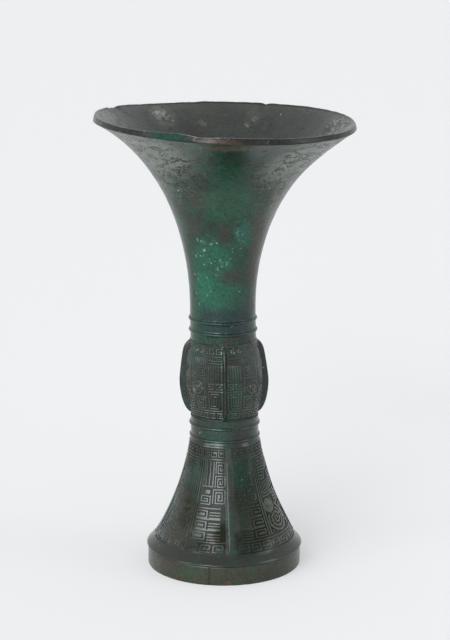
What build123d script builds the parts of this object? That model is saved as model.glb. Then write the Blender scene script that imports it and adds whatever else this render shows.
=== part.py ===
from build123d import *

import os
from math import atan2, cos, degrees, radians, sin, tan

# A bronze gu: a slender beaker with a trumpet mouth, a flanged knop and a flared foot.
#
# It is made up from separate castings. The trumpet and the foot each end in a spigot that enters the
# knop, solder fills both joints, and the cup's floor lies on the foot's spigot. Tenons key the flanges
# into the walls, the standing ring is tongued into the foot, and the square chaplets that held the
# casting cores apart are left in the walls.
#
# Millimetres, +Z up. The origin is the centre of the standing face, and the front flange faces -Y.

# Heights of the sections, from the standing face up
RING_HEIGHT = 11.3
MOULDING_HEIGHT = 6.2
FLARE_HEIGHT = 58.0
BAND_HEIGHT = 15.5
KNOP_HEIGHT = 45.5
NECK_HEIGHT = 19.5
MOUTH_HEIGHT = 105.5
LIP_HEIGHT = 4.0

# Outer radii, and the steps between one section and the next
RING_RADIUS = 45.2
NECK_RADIUS = 19.1
MOUTH_RADIUS = 75.0
MOULDING_OVERHANG = 0.7
MOULDING_WIDEST = 2.4
MOULDING_SETBACK = 3.7
BAND_STEP = 0.3
FLARE_STEP = 1.5
KNOP_STEP = 0.4
KNOP_SWELL = 3.6

# Walls
RING_WALL = 3.0
FOOT_WALL = 2.7
NECK_WALL = 2.7
KNOP_WALL = 2.8
FLOOR_THICKNESS = 2.6
FLOOR_DISH = 0.6

# The trumpet's flare leaves the neck upright and reaches the lip at a slope above the level
FLARE_RISE = 43.5
FLARE_REACH = 42.0
LIP_SLOPE = 27.0
LIP_WIDTH = 1.6
LIP_ROUNDING = 0.6

# The foot's flare is hollow: its outline stands this far inside the chord between its ends
FLARE_HOLLOW = 3.4

# Raised bowstring beads around the neck and the band
BEAD_RADIUS = 0.9
LOWER_NECK_BEAD_ABOVE_KNOP = 5.8
UPPER_NECK_BEAD_ABOVE_KNOP = 12.6
LOWER_BAND_BEAD_ABOVE_FLARE = 3.3
UPPER_BAND_BEAD_BELOW_KNOP = 4.8

# Spigot joints at the knop's two ends, and the solder that fills them
SHOULDER_WIDTH = 1.1
SPIGOT_DEPTH = 6.0
SOLDER_THICKNESS = 0.4

# Tongue of the standing ring in the groove under the moulding
TONGUE_WIDTH = 1.2
TONGUE_HEIGHT = 2.5
FIT_CLEARANCE = 0.1

# Flanges on the knop
KNOP_FLANGE_THICKNESS = 2.6
KNOP_FLANGE_REACH = 3.0
KNOP_FLANGE_WIDEST_ABOVE_BAND = 21.0
KNOP_FLANGE_END_GAP = 0.6
KNOP_FLANGE_ROUNDING = 0.4
KNOP_TENON_DEPTH = 1.4
KNOP_TENON_THICKNESS = 1.4

# Flanges on the foot
FOOT_FLANGE_THICKNESS = 3.6
FOOT_FLANGE_REACH = 0.7
FOOT_FLANGE_END_GAP = 1.0
FOOT_FLANGE_BEVEL = 0.3
FOOT_TENON_DEPTH = 1.2
FOOT_TENON_THICKNESS = 0.9

TENON_LENGTH = 16.0

# Eyes of the masks, raised on the knop and on the foot, at bearings either side of +X and of -X
MASK_COUNT = 2
EYE_RADIUS = 2.4
EYE_SWELL = 0.9
KNOP_EYE_ABOVE_BAND = 20.0
KNOP_EYE_BEARING = 45.0
FOOT_EYE_ABOVE_MOULDING = 23.0
FOOT_EYE_BEARING = 38.0

# Chaplets, square pieces of sheet left in the walls
CHAPLET_COUNT = 4
CHAPLET_BEARING = 45.0
NECK_CHAPLET_SIZE = 6.0
NECK_CHAPLET_ABOVE_NECK = 11.5
BAND_CHAPLET_SIZE = 4.4

SIDES = {"right": 0.0, "back": 90.0, "left": 180.0, "front": 270.0}

# Levels
FLARE_FOOT = RING_HEIGHT + MOULDING_HEIGHT
FLARE_TOP = FLARE_FOOT + FLARE_HEIGHT
KNOP_BOTTOM = FLARE_TOP + BAND_HEIGHT
KNOP_MIDDLE = KNOP_BOTTOM + KNOP_HEIGHT / 2
KNOP_TOP = KNOP_BOTTOM + KNOP_HEIGHT
NECK_TOP = KNOP_TOP + NECK_HEIGHT
LIP_FOOT = NECK_TOP + MOUTH_HEIGHT
RIM = LIP_FOOT + LIP_HEIGHT
FLOOR_BOTTOM = KNOP_BOTTOM + SPIGOT_DEPTH
FLOOR_TOP = FLOOR_BOTTOM + FLOOR_THICKNESS
SPIGOT_FOOT = KNOP_TOP - SPIGOT_DEPTH
LOWER_BAND_BEAD = FLARE_TOP + LOWER_BAND_BEAD_ABOVE_FLARE
UPPER_BAND_BEAD = KNOP_BOTTOM - UPPER_BAND_BEAD_BELOW_KNOP
LOWER_NECK_BEAD = KNOP_TOP + LOWER_NECK_BEAD_ABOVE_KNOP
UPPER_NECK_BEAD = KNOP_TOP + UPPER_NECK_BEAD_ABOVE_KNOP
BAND_CHAPLET_LEVEL = (LOWER_BAND_BEAD + UPPER_BAND_BEAD) / 2
NECK_CHAPLET_LEVEL = NECK_TOP + NECK_CHAPLET_ABOVE_NECK
KNOP_FLANGE_WIDEST = KNOP_BOTTOM + KNOP_FLANGE_WIDEST_ABOVE_BAND
FOOT_FLANGE_BOTTOM = FLARE_FOOT + FOOT_FLANGE_END_GAP
FOOT_FLANGE_TOP = FLARE_TOP - FOOT_FLANGE_END_GAP

# Radii
MOULDING_RADIUS = RING_RADIUS + MOULDING_OVERHANG
FLARE_FOOT_RADIUS = RING_RADIUS - MOULDING_SETBACK
BAND_RADIUS = NECK_RADIUS + BAND_STEP
FLARE_TOP_RADIUS = BAND_RADIUS + FLARE_STEP
KNOP_END_RADIUS = NECK_RADIUS + KNOP_STEP
KNOP_BELLY_RADIUS = KNOP_END_RADIUS + KNOP_SWELL
KNOP_CAVITY_RADIUS = KNOP_BELLY_RADIUS - KNOP_WALL
KNOP_FLANGE_TIP = KNOP_BELLY_RADIUS + KNOP_FLANGE_REACH
BORE_RADIUS = NECK_RADIUS - NECK_WALL
SPIGOT_RADIUS = NECK_RADIUS - SHOULDER_WIDTH
SOCKET_RADIUS = SPIGOT_RADIUS + SOLDER_THICKNESS
RING_BORE_RADIUS = RING_RADIUS - RING_WALL
TONGUE_RADIUS = RING_RADIUS - RING_WALL / 2

# The chaplets' blanks reach right through the wall, which then trims them flush
CHAPLET_REACH = 4 * NECK_WALL

# The middle of the foot's flare, and its lean from the upright there
FLARE_LEAN = atan2(FLARE_FOOT_RADIUS - FLARE_TOP_RADIUS, FLARE_HEIGHT)
FLARE_MIDDLE_RADIUS = (FLARE_FOOT_RADIUS + FLARE_TOP_RADIUS) / 2 - FLARE_HOLLOW * cos(FLARE_LEAN)
FLARE_MIDDLE_LEVEL = (FLARE_FOOT + FLARE_TOP) / 2 - FLARE_HOLLOW * sin(FLARE_LEAN)
FOOT_TENON_OFFSET = (FOOT_FLANGE_REACH / 2 - FOOT_TENON_DEPTH) / 2
FOOT_TENON_PLACE = Location(
    (
        FLARE_MIDDLE_RADIUS + FOOT_TENON_OFFSET * cos(FLARE_LEAN),
        FLARE_MIDDLE_LEVEL + FOOT_TENON_OFFSET * sin(FLARE_LEAN),
        0,
    ),
    (0, 0, degrees(FLARE_LEAN)),
)
FOOT_TENON_BREADTH = FOOT_FLANGE_REACH / 2 + FOOT_TENON_DEPTH

# The eyes are caps of one ball, sunk until only the swell shows
EYE_BALL_RADIUS = (EYE_RADIUS**2 + EYE_SWELL**2) / (2 * EYE_SWELL)
EYE_SINK = EYE_SWELL - EYE_BALL_RADIUS
KNOP_EYE_LEVEL = KNOP_BOTTOM + KNOP_EYE_ABOVE_BAND
FOOT_EYE_LEVEL = FLARE_FOOT + FOOT_EYE_ABOVE_MOULDING
FOOT_EYE_SEAT = FLARE_MIDDLE_RADIUS + (FLARE_MIDDLE_LEVEL - FOOT_EYE_LEVEL) * tan(FLARE_LEAN)

os.makedirs("parts", exist_ok=True)

# The trumpet's wall, whole, before the chaplets are let into it
with BuildPart() as trumpet_wall:
    slope = Vector(cos(radians(LIP_SLOPE)), sin(radians(LIP_SLOPE)))
    outer_lip = Vector(MOUTH_RADIUS, LIP_FOOT)
    inner_lip = Vector(MOUTH_RADIUS - LIP_WIDTH, RIM)
    with BuildSketch(Plane.XZ):
        with BuildLine():
            Polyline(
                (BORE_RADIUS, NECK_TOP),
                (BORE_RADIUS, SPIGOT_FOOT),
                (SPIGOT_RADIUS, SPIGOT_FOOT),
                (SPIGOT_RADIUS, KNOP_TOP),
                (NECK_RADIUS, KNOP_TOP),
                (NECK_RADIUS, NECK_TOP),
            )
            Bezier(
                (NECK_RADIUS, NECK_TOP),
                (NECK_RADIUS, NECK_TOP + FLARE_RISE),
                outer_lip - slope * FLARE_REACH,
                outer_lip,
            )
            Polyline(outer_lip, (MOUTH_RADIUS, RIM), inner_lip)
            Bezier(
                inner_lip,
                inner_lip - slope * FLARE_REACH,
                (BORE_RADIUS, NECK_TOP + FLARE_RISE),
                (BORE_RADIUS, NECK_TOP),
            )
        make_face()
        with Locations((NECK_RADIUS, LOWER_NECK_BEAD), (NECK_RADIUS, UPPER_NECK_BEAD)):
            Circle(BEAD_RADIUS)
    revolve(axis=Axis.Z)
    fillet(trumpet_wall.faces().sort_by(Axis.Z)[-1].edges(), LIP_ROUNDING)

with BuildPart() as neck_chaplets:
    with Locations(Plane.XY.offset(NECK_CHAPLET_LEVEL)):
        with PolarLocations(NECK_RADIUS, CHAPLET_COUNT, start_angle=CHAPLET_BEARING):
            Box(CHAPLET_REACH, NECK_CHAPLET_SIZE, NECK_CHAPLET_SIZE)
    add(trumpet_wall.part, mode=Mode.INTERSECT)
neck_chaplets.part.label = "neck_chaplets"
export_step(neck_chaplets.part, "parts/neck_chaplets.step")

with BuildPart() as trumpet_mouth:
    add(trumpet_wall.part)
    with Locations(Plane.XY.offset(NECK_CHAPLET_LEVEL)):
        with PolarLocations(NECK_RADIUS, CHAPLET_COUNT, start_angle=CHAPLET_BEARING):
            Box(
                CHAPLET_REACH,
                NECK_CHAPLET_SIZE + 2 * FIT_CLEARANCE,
                NECK_CHAPLET_SIZE + 2 * FIT_CLEARANCE,
                mode=Mode.SUBTRACT,
            )
trumpet_mouth.part.label = "trumpet_mouth"
export_step(trumpet_mouth.part, "parts/trumpet_mouth.step")

# The knop's outer form, solid, which also shapes the seats of its flanges
with BuildPart() as knop_form:
    with BuildSketch(Plane.XZ):
        with BuildLine():
            Bezier(
                (KNOP_END_RADIUS, KNOP_BOTTOM),
                (2 * KNOP_BELLY_RADIUS - KNOP_END_RADIUS, KNOP_MIDDLE),
                (KNOP_END_RADIUS, KNOP_TOP),
            )
            Polyline(
                (KNOP_END_RADIUS, KNOP_TOP),
                (0, KNOP_TOP),
                (0, KNOP_BOTTOM),
                (KNOP_END_RADIUS, KNOP_BOTTOM),
            )
        make_face()
    revolve(axis=Axis.Z)
    with Locations(Plane.XY.offset(KNOP_EYE_LEVEL)):
        for bearing in (KNOP_EYE_BEARING, -KNOP_EYE_BEARING):
            with PolarLocations(KNOP_BELLY_RADIUS + EYE_SINK, MASK_COUNT, start_angle=bearing):
                Sphere(EYE_BALL_RADIUS)

with BuildPart() as knop:
    add(knop_form.part)
    with BuildSketch(Plane.XZ):
        with BuildLine():
            Polyline(
                (SOCKET_RADIUS, SPIGOT_FOOT),
                (SOCKET_RADIUS, KNOP_TOP),
                (0, KNOP_TOP),
                (0, KNOP_BOTTOM),
                (SOCKET_RADIUS, KNOP_BOTTOM),
                (SOCKET_RADIUS, FLOOR_TOP),
            )
            Bezier(
                (SOCKET_RADIUS, FLOOR_TOP),
                (2 * KNOP_CAVITY_RADIUS - SOCKET_RADIUS, (FLOOR_TOP + SPIGOT_FOOT) / 2),
                (SOCKET_RADIUS, SPIGOT_FOOT),
            )
        make_face()
    revolve(axis=Axis.Z, mode=Mode.SUBTRACT)
    for bearing in SIDES.values():
        with BuildSketch(Plane.XZ.rotated((0, 0, bearing))):
            with Locations((KNOP_BELLY_RADIUS, KNOP_MIDDLE)):
                Rectangle(2 * (KNOP_TENON_DEPTH + FIT_CLEARANCE), TENON_LENGTH + 2 * FIT_CLEARANCE)
        extrude(amount=KNOP_TENON_THICKNESS / 2 + FIT_CLEARANCE, both=True, mode=Mode.SUBTRACT)
knop.part.label = "knop"
export_step(knop.part, "parts/knop.step")

for side, bearing in SIDES.items():
    with BuildPart() as knop_flange:
        with BuildSketch(Plane.XZ.rotated((0, 0, bearing))):
            with BuildLine():
                EllipticalCenterArc(
                    (SOCKET_RADIUS, KNOP_FLANGE_WIDEST),
                    KNOP_FLANGE_TIP - SOCKET_RADIUS,
                    KNOP_FLANGE_WIDEST - KNOP_BOTTOM - KNOP_FLANGE_END_GAP,
                    start_angle=-90,
                )
                EllipticalCenterArc(
                    (SOCKET_RADIUS, KNOP_FLANGE_WIDEST),
                    KNOP_FLANGE_TIP - SOCKET_RADIUS,
                    KNOP_TOP - KNOP_FLANGE_WIDEST - KNOP_FLANGE_END_GAP,
                )
                Line(
                    (SOCKET_RADIUS, KNOP_TOP - KNOP_FLANGE_END_GAP),
                    (SOCKET_RADIUS, KNOP_BOTTOM + KNOP_FLANGE_END_GAP),
                )
            make_face()
        extrude(amount=KNOP_FLANGE_THICKNESS / 2, both=True)
        fillet(knop_flange.edges().filter_by(GeomType.ELLIPSE), KNOP_FLANGE_ROUNDING)
        add(knop_form.part, mode=Mode.SUBTRACT)
        with BuildSketch(Plane.XZ.rotated((0, 0, bearing))):
            with Locations((KNOP_BELLY_RADIUS, KNOP_MIDDLE)):
                Rectangle(2 * KNOP_TENON_DEPTH, TENON_LENGTH)
        extrude(amount=KNOP_TENON_THICKNESS / 2, both=True)
    knop_flange.part.label = f"knop_flange_{side}"
    export_step(knop_flange.part, f"parts/knop_flange_{side}.step")

# The foot's outer form, solid, with the band and the spigot above it
with BuildPart() as foot_form:
    with BuildSketch(Plane.XZ):
        with BuildLine():
            Line((0, RING_HEIGHT), (RING_RADIUS, RING_HEIGHT))
            ThreePointArc(
                (RING_RADIUS, RING_HEIGHT),
                (MOULDING_RADIUS, RING_HEIGHT + MOULDING_WIDEST),
                (FLARE_FOOT_RADIUS, FLARE_FOOT),
            )
            SagittaArc((FLARE_FOOT_RADIUS, FLARE_FOOT), (FLARE_TOP_RADIUS, FLARE_TOP), FLARE_HOLLOW)
            Polyline(
                (FLARE_TOP_RADIUS, FLARE_TOP),
                (BAND_RADIUS, FLARE_TOP),
                (BAND_RADIUS, KNOP_BOTTOM),
                (SPIGOT_RADIUS, KNOP_BOTTOM),
                (SPIGOT_RADIUS, FLOOR_BOTTOM),
                (0, FLOOR_BOTTOM),
                (0, RING_HEIGHT),
            )
        make_face()
        with Locations((BAND_RADIUS, LOWER_BAND_BEAD), (BAND_RADIUS, UPPER_BAND_BEAD)):
            Circle(BEAD_RADIUS)
    revolve(axis=Axis.Z)
    with Locations(Plane.XY.offset(FOOT_EYE_LEVEL)):
        for bearing in (FOOT_EYE_BEARING, -FOOT_EYE_BEARING):
            with PolarLocations(FOOT_EYE_SEAT + EYE_SINK, MASK_COUNT, start_angle=bearing):
                Sphere(EYE_BALL_RADIUS)

# The foot's wall, whole, before the slots and the chaplets are let into it
with BuildPart() as foot_wall:
    add(foot_form.part)
    with BuildSketch(Plane.XZ):
        with BuildLine():
            Line((RING_BORE_RADIUS, RING_HEIGHT), (FLARE_FOOT_RADIUS - FOOT_WALL, FLARE_FOOT))
            SagittaArc(
                (FLARE_FOOT_RADIUS - FOOT_WALL, FLARE_FOOT),
                (FLARE_TOP_RADIUS - FOOT_WALL, FLARE_TOP),
                FLARE_HOLLOW,
            )
            Polyline(
                (FLARE_TOP_RADIUS - FOOT_WALL, FLARE_TOP),
                (BORE_RADIUS, LOWER_BAND_BEAD),
                (BORE_RADIUS, FLOOR_BOTTOM),
                (0, FLOOR_BOTTOM),
                (0, RING_HEIGHT),
                (RING_BORE_RADIUS, RING_HEIGHT),
            )
        make_face()
        with Locations((TONGUE_RADIUS, RING_HEIGHT)):
            Rectangle(TONGUE_WIDTH + 2 * FIT_CLEARANCE, 2 * (TONGUE_HEIGHT + FIT_CLEARANCE))
    revolve(axis=Axis.Z, mode=Mode.SUBTRACT)

with BuildPart() as band_chaplets:
    with Locations(Plane.XY.offset(BAND_CHAPLET_LEVEL)):
        with PolarLocations(BAND_RADIUS, CHAPLET_COUNT, start_angle=CHAPLET_BEARING):
            Box(CHAPLET_REACH, BAND_CHAPLET_SIZE, BAND_CHAPLET_SIZE)
    add(foot_wall.part, mode=Mode.INTERSECT)
band_chaplets.part.label = "band_chaplets"
export_step(band_chaplets.part, "parts/band_chaplets.step")

with BuildPart() as foot:
    add(foot_wall.part)
    with Locations(Plane.XY.offset(BAND_CHAPLET_LEVEL)):
        with PolarLocations(BAND_RADIUS, CHAPLET_COUNT, start_angle=CHAPLET_BEARING):
            Box(
                CHAPLET_REACH,
                BAND_CHAPLET_SIZE + 2 * FIT_CLEARANCE,
                BAND_CHAPLET_SIZE + 2 * FIT_CLEARANCE,
                mode=Mode.SUBTRACT,
            )
    for bearing in SIDES.values():
        with BuildSketch(Plane.XZ.rotated((0, 0, bearing))):
            with Locations(FOOT_TENON_PLACE):
                Rectangle(FOOT_TENON_BREADTH + 2 * FIT_CLEARANCE, TENON_LENGTH + 2 * FIT_CLEARANCE)
        extrude(amount=FOOT_TENON_THICKNESS / 2 + FIT_CLEARANCE, both=True, mode=Mode.SUBTRACT)
foot.part.label = "foot"
export_step(foot.part, "parts/foot.step")

for side, bearing in SIDES.items():
    with BuildPart() as foot_flange:
        with BuildSketch(Plane.XZ.rotated((0, 0, bearing))):
            with BuildLine():
                crest = SagittaArc(
                    (FLARE_FOOT_RADIUS + FOOT_FLANGE_REACH, FOOT_FLANGE_BOTTOM),
                    (FLARE_TOP_RADIUS + FOOT_FLANGE_REACH, FOOT_FLANGE_TOP),
                    FLARE_HOLLOW,
                )
                Polyline(
                    crest @ 1, (BORE_RADIUS, FOOT_FLANGE_TOP), (BORE_RADIUS, FOOT_FLANGE_BOTTOM), crest @ 0
                )
            make_face()
        extrude(amount=FOOT_FLANGE_THICKNESS / 2, both=True)
        chamfer(foot_flange.edges().filter_by(GeomType.CIRCLE), FOOT_FLANGE_BEVEL)
        add(foot_form.part, mode=Mode.SUBTRACT)
        with BuildSketch(Plane.XZ.rotated((0, 0, bearing))):
            with Locations(FOOT_TENON_PLACE):
                Rectangle(FOOT_TENON_BREADTH, TENON_LENGTH)
        extrude(amount=FOOT_TENON_THICKNESS / 2, both=True)
    foot_flange.part.label = f"foot_flange_{side}"
    export_step(foot_flange.part, f"parts/foot_flange_{side}.step")

with BuildPart() as foot_ring:
    with BuildSketch(Plane.XZ):
        with Locations((TONGUE_RADIUS, RING_HEIGHT / 2)):
            Rectangle(RING_WALL, RING_HEIGHT)
        with Locations((TONGUE_RADIUS, RING_HEIGHT)):
            Rectangle(TONGUE_WIDTH, 2 * TONGUE_HEIGHT)
    revolve(axis=Axis.Z)
foot_ring.part.label = "foot_ring"
export_step(foot_ring.part, "parts/foot_ring.step")

with BuildPart() as cup_floor:
    with BuildSketch(Plane.XZ):
        with BuildLine():
            Bezier(
                (SPIGOT_RADIUS, FLOOR_TOP),
                (SPIGOT_RADIUS / 2, FLOOR_TOP - FLOOR_DISH),
                (0, FLOOR_TOP - FLOOR_DISH),
            )
            Polyline(
                (0, FLOOR_TOP - FLOOR_DISH),
                (0, FLOOR_BOTTOM),
                (SPIGOT_RADIUS, FLOOR_BOTTOM),
                (SPIGOT_RADIUS, FLOOR_TOP),
            )
        make_face()
    revolve(axis=Axis.Z)
cup_floor.part.label = "cup_floor"
export_step(cup_floor.part, "parts/cup_floor.step")

with BuildPart() as upper_solder_ring:
    with BuildSketch(Plane.XY.offset(SPIGOT_FOOT)):
        Circle(SOCKET_RADIUS)
        Circle(SPIGOT_RADIUS, mode=Mode.SUBTRACT)
    extrude(amount=SPIGOT_DEPTH)
upper_solder_ring.part.label = "upper_solder_ring"
export_step(upper_solder_ring.part, "parts/upper_solder_ring.step")

with BuildPart() as lower_solder_ring:
    with BuildSketch(Plane.XY.offset(KNOP_BOTTOM)):
        Circle(SOCKET_RADIUS)
        Circle(SPIGOT_RADIUS, mode=Mode.SUBTRACT)
    extrude(amount=SPIGOT_DEPTH + FLOOR_THICKNESS)
lower_solder_ring.part.label = "lower_solder_ring"
export_step(lower_solder_ring.part, "parts/lower_solder_ring.step")
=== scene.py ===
import math

import bpy
import numpy as np
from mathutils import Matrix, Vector, noise


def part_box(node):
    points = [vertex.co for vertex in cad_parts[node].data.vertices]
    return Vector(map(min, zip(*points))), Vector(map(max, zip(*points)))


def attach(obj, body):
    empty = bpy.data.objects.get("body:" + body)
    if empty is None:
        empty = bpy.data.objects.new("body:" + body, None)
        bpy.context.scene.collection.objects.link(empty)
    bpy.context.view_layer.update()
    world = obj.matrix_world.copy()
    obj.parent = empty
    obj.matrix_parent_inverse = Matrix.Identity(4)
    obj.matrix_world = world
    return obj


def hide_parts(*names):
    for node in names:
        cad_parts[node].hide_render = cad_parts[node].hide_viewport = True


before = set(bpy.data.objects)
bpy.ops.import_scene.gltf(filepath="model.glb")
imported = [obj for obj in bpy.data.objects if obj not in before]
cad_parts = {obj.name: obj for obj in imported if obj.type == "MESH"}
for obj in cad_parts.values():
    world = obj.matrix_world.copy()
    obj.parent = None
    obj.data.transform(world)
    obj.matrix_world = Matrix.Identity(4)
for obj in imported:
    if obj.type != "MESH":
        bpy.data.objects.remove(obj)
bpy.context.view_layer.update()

# A patinated bronze gu: a trumpet mouth, a knop and a flared foot with cast masks, and a standing ring.
# Lengths are millimetres until MM turns them to metres. The front flange faces -Y, and the mouth is up.
# Bearings are degrees round the axis, from the right by way of the back.

MM = 0.001
BEARINGS = {"right": 0, "back": 90, "left": 180, "front": 270}


# Sizes read from the frame

LOWEST, HIGHEST = 0, 1


def level_of(node, end):
    """Height of a node's lowest or highest point."""
    return round(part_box(node)[end][2] / MM, 1)


def radius_of(node):
    """How far a node stands out from the axis."""
    return round(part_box(node)[HIGHEST][0] / MM, 1)


RIM = level_of("trumpet_mouth", HIGHEST)
SPIGOT_FOOT = level_of("trumpet_mouth", LOWEST)
KNOP_TOP = level_of("knop", HIGHEST)
KNOP_BOTTOM = level_of("knop", LOWEST)
FLOOR_TOP = level_of("cup_floor", HIGHEST)
FLOOR_BOTTOM = level_of("cup_floor", LOWEST)
FOOT_FLANGE_TOP = level_of("foot_flange_right", HIGHEST)
FOOT_FLANGE_BOTTOM = level_of("foot_flange_right", LOWEST)
RING_TOP = level_of("foot", LOWEST)
MOUTH_RADIUS = radius_of("trumpet_mouth")
RING_RADIUS = radius_of("foot_ring")
SPIGOT_RADIUS = radius_of("cup_floor")
SOCKET_RADIUS = radius_of("upper_solder_ring")
KNOP_FLANGE_TIP = radius_of("knop_flange_right")

# Sizes worked out from those

LIP_HEIGHT = 4.0
MOUTH_HEIGHT = 105.5
LIP_FOOT = RIM - LIP_HEIGHT
NECK_TOP = LIP_FOOT - MOUTH_HEIGHT
SHOULDER_WIDTH = 1.1
NECK_RADIUS = SPIGOT_RADIUS + SHOULDER_WIDTH
WALL = 2.7
BORE_RADIUS = NECK_RADIUS - WALL
KNOP_STEP = 0.4
KNOP_END_RADIUS = NECK_RADIUS + KNOP_STEP
KNOP_SWELL = 3.6
KNOP_HEIGHT = KNOP_TOP - KNOP_BOTTOM
BAND_STEP = 0.8
BAND_RADIUS = NECK_RADIUS + BAND_STEP
FOOT_FLANGE_GAP = 1.0
FLARE_FOOT = FOOT_FLANGE_BOTTOM - FOOT_FLANGE_GAP
FLARE_TOP = FOOT_FLANGE_TOP + FOOT_FLANGE_GAP
FLARE_STEP = 1.0
FLARE_TOP_RADIUS = BAND_RADIUS + FLARE_STEP
MOULDING_SETBACK = 3.7
FLARE_FOOT_RADIUS = RING_RADIUS - MOULDING_SETBACK
RING_WALL = 3.0
RING_BORE = RING_RADIUS - RING_WALL
BEAD_RADIUS = 0.9
NECK_BEADS = (KNOP_TOP + 5.8, KNOP_TOP + 12.6)
BAND_BEADS = (FLARE_TOP + 3.3, KNOP_BOTTOM - 4.8)


# Outlines, as radius and height

CURVE_STEPS = 300
WALL_SPACING = 0.8
SAME_POINT = 0.01


def evened(points, spacing):
    """The same line with its points about one spacing apart."""
    points = np.array(points, float)
    run = np.concatenate([[0], np.cumsum(np.linalg.norm(np.diff(points, axis=0), axis=1))])
    marks = np.linspace(0, run[-1], max(2, round(run[-1] / spacing) + 1))
    return [(np.interp(m, run, points[:, 0]), np.interp(m, run, points[:, 1])) for m in marks]


def bezier(corners, spacing):
    """Points along a line or a Bezier curve with these control points."""
    t = np.linspace(0, 1, CURVE_STEPS)[:, None]
    layers = [np.array([c], float) for c in corners]
    while len(layers) > 1:
        layers = [a * (1 - t) + b * t for a, b in zip(layers, layers[1:])]
    return evened(layers[0], spacing)


def arc(middle, across, up, start, end, count):
    """Points on a round or oval arc between two angles in degrees."""
    angles = np.radians(np.linspace(start, end, count))
    return [(middle[0] + across * math.cos(a), middle[1] + up * math.sin(a)) for a in angles]


def hollow(low, high, depth, rows):
    """An arc that stands inside the chord between its ends, divided evenly along that chord."""
    low, high = np.array(low, float), np.array(high, float)
    chord = np.linalg.norm(high - low)
    inward = np.array([low[1] - high[1], high[0] - low[0]]) / chord
    radius = chord**2 / (8 * depth) + depth / 2
    points = []
    for t in np.linspace(0, 1, rows + 1):
        sink = math.sqrt(radius**2 - ((t - 0.5) * chord) ** 2) - (radius - depth)
        points.append(tuple(low + (high - low) * t + inward * sink))
    return points


def joined(*runs):
    """Runs of points end to end, with no point twice."""
    line = []
    for point in (p for run in runs for p in run):
        if not line or math.dist(line[-1], point) > SAME_POINT:
            line.append(point)
    return line


def beaded(radius, bottom, top, beads):
    """Upright wall with half-round bowstring beads at these levels."""
    runs = []
    for level in beads:
        runs.append(bezier([(radius, bottom), (radius, level - BEAD_RADIUS)], WALL_SPACING))
        runs.append(arc((radius, level), BEAD_RADIUS, BEAD_RADIUS, -88, 88, 9))
        bottom = level + BEAD_RADIUS
    return joined(*runs, bezier([(radius, bottom), (radius, top)], WALL_SPACING))


# Working on a piece

MERGE_REACH = 0.005


def named(name):
    """Names the primitive that was just added."""
    piece = bpy.context.object
    piece.name = name
    piece.data.name = name
    return piece


def pick_only(piece):
    """Selects one piece alone and makes it the active one."""
    bpy.ops.object.select_all(action="DESELECT")
    piece.select_set(True)
    bpy.context.view_layer.objects.active = piece


def close_mesh():
    """Merges doubled points of the piece that is open, and turns its faces outwards."""
    bpy.ops.mesh.select_all(action="SELECT")
    bpy.ops.mesh.remove_doubles(threshold=MERGE_REACH * MM)
    bpy.ops.mesh.normals_make_consistent(inside=False)


def turned(name, outline, steps):
    """Draws a closed outline point by point and spins it once round the axis."""
    bpy.ops.object.select_all(action="DESELECT")
    bpy.ops.mesh.primitive_plane_add(size=MM)
    piece = named(name)
    bpy.context.tool_settings.mesh_select_mode = (True, False, False)
    bpy.ops.object.mode_set(mode="EDIT")
    bpy.ops.mesh.select_all(action="SELECT")
    bpy.ops.mesh.merge(type="CENTER")
    bpy.ops.transform.translate(value=(outline[0][0] * MM, 0, outline[0][1] * MM))
    for (r0, z0), (r1, z1) in zip(outline, outline[1:] + outline[:1]):
        step = ((r1 - r0) * MM, 0, (z1 - z0) * MM)
        bpy.ops.mesh.extrude_region_move(TRANSFORM_OT_translate={"value": step})
    bpy.ops.mesh.select_all(action="SELECT")
    bpy.ops.mesh.spin(steps=steps, angle=math.tau, center=(0, 0, 0), axis=(0, 0, 1))
    close_mesh()
    bpy.ops.object.mode_set(mode="OBJECT")
    return piece


def places_of(piece):
    """Places of a piece's points."""
    places = np.empty(len(piece.data.vertices) * 3)
    piece.data.vertices.foreach_get("co", places)
    return places.reshape(-1, 3) / MM


def faces_of(piece):
    """Middles and normals of a piece's faces."""
    count = len(piece.data.polygons)
    middles, normals = np.empty(count * 3), np.empty(count * 3)
    piece.data.polygons.foreach_get("center", middles)
    piece.data.polygons.foreach_get("normal", normals)
    return middles.reshape(-1, 3) / MM, normals.reshape(-1, 3)


def radii_of(places):
    """How far places lie from the axis."""
    return np.hypot(places[:, 0], places[:, 1])


def bearings_of(places):
    """Bearings of places round the axis."""
    return np.degrees(np.arctan2(places[:, 1], places[:, 0])) % 360


def move_points(piece, places):
    """Puts a piece's points at these places."""
    piece.data.vertices.foreach_set("co", (places * MM).ravel())
    piece.data.update()


def pick_faces(piece, chosen):
    """Opens a piece in edit mode with just these faces selected."""
    pick_only(piece)
    bpy.context.tool_settings.mesh_select_mode = (False, False, True)
    bpy.ops.object.mode_set(mode="EDIT")
    bpy.ops.mesh.select_all(action="DESELECT")
    bpy.ops.object.mode_set(mode="OBJECT")
    piece.data.polygons.foreach_set("select", [bool(c) for c in chosen])
    bpy.ops.object.mode_set(mode="EDIT")


def sink_faces(piece, chosen, depth):
    """Extrudes these faces inwards."""
    pick_faces(piece, chosen)
    bpy.ops.mesh.extrude_region_shrink_fatten(TRANSFORM_OT_shrink_fatten={"value": -depth * MM})
    bpy.ops.object.mode_set(mode="OBJECT")


def apply_all(piece):
    """Applies a piece's modifiers."""
    pick_only(piece)
    for modifier in list(piece.modifiers):
        bpy.ops.object.modifier_apply(modifier=modifier.name)


def thicken(piece, thickness, offset, rounding, segments):
    """Gives a sheet its thickness and rounds its edges."""
    wall = piece.modifiers.new("thickness", "SOLIDIFY")
    wall.thickness = thickness * MM
    wall.offset = offset
    edge = piece.modifiers.new("rounded edges", "BEVEL")
    edge.width = rounding * MM
    edge.segments = segments
    edge.limit_method = "ANGLE"
    apply_all(piece)


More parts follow.
